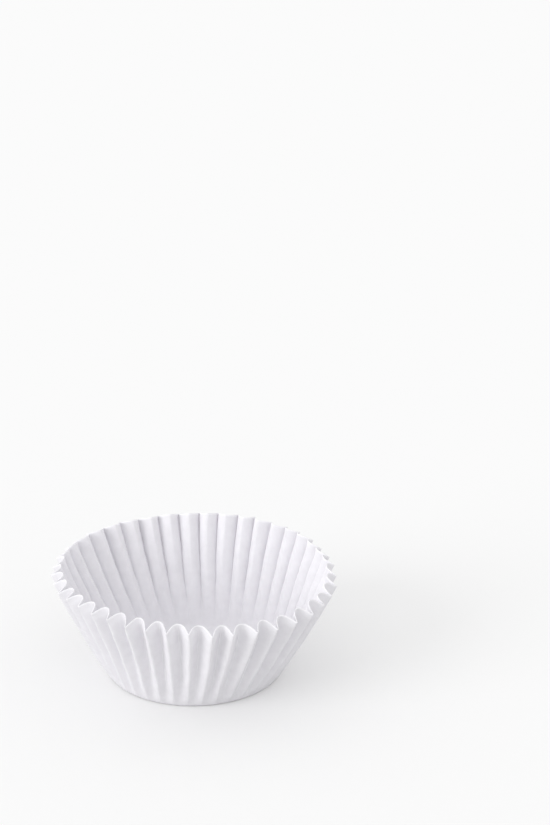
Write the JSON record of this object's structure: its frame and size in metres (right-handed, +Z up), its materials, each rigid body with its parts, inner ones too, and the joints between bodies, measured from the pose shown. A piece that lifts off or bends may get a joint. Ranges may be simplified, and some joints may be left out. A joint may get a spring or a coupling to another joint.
{
  "type": "cupcake liner",
  "caption": "Pleated paper cupcake liner with a flat round base and a flared wall ending in a scalloped rim.",
  "frame": {"origin": "middle of the base's underside, which is the lowest plane of the liner", "axes": "+Z up along the liner's axis, out of its mouth; an outer fold lies at -Y"},
  "size_m": [0.0818, 0.082, 0.0316],
  "materials": {
    "paper": "matt white greaseproof paper"
  },
  "bodies": {
    "root": {"cupcake_liner": "paper"}
  },
  "joints": []
}
